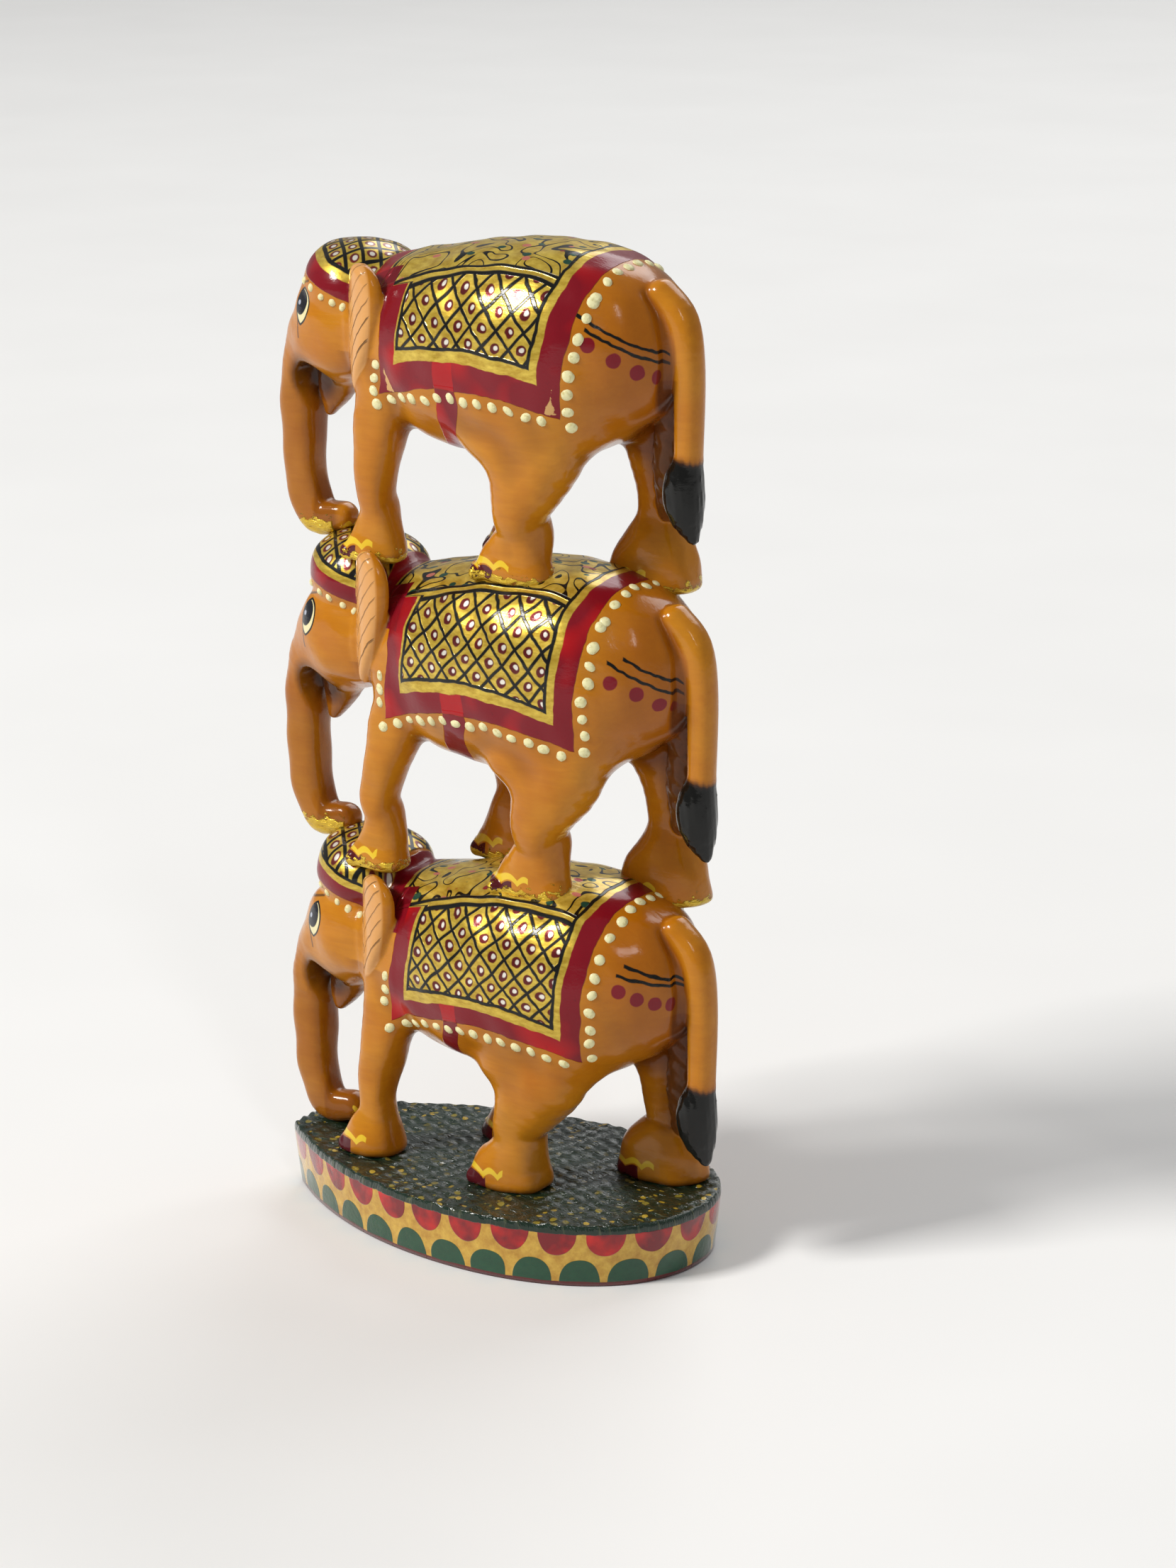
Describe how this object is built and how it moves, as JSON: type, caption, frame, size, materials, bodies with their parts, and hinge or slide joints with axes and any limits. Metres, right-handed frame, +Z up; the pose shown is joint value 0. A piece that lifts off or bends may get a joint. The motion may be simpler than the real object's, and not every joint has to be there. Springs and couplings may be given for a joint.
{
  "type": "carved elephant stack figurine",
  "caption": "Carved wooden figurine of a stack of elephants on a boat-shaped plinth, with lacquered wood and painted cloths.",
  "frame": {"origin": "middle of the carving's outline at the plinth's underside", "axes": "+Z up; the elephants face -X; their left side faces -Y"},
  "size_m": [0.1016, 0.055, 0.2006],
  "materials": {
    "lacquered_wood": "glossy clear lacquer over pale honey-coloured wood",
    "painted_wood": "hand-brushed gloss enamel in green, red, ochre, gold, maroon and cream"
  },
  "bodies": {
    "root": {"plinth": "painted_wood", "lower_body_and_legs": "lacquered_wood", "lower_head_and_trunk": "lacquered_wood", "lower_left_ear": "lacquered_wood", "lower_right_ear": "lacquered_wood", "lower_tail": "lacquered_wood", "middle_body_and_legs": "lacquered_wood", "middle_head_and_trunk": "lacquered_wood", "middle_left_ear": "lacquered_wood", "middle_right_ear": "lacquered_wood", "middle_tail": "lacquered_wood", "upper_body_and_legs": "lacquered_wood", "upper_head_and_trunk": "lacquered_wood", "upper_left_ear": "lacquered_wood", "upper_right_ear": "lacquered_wood", "upper_tail": "lacquered_wood"}
  },
  "joints": []
}
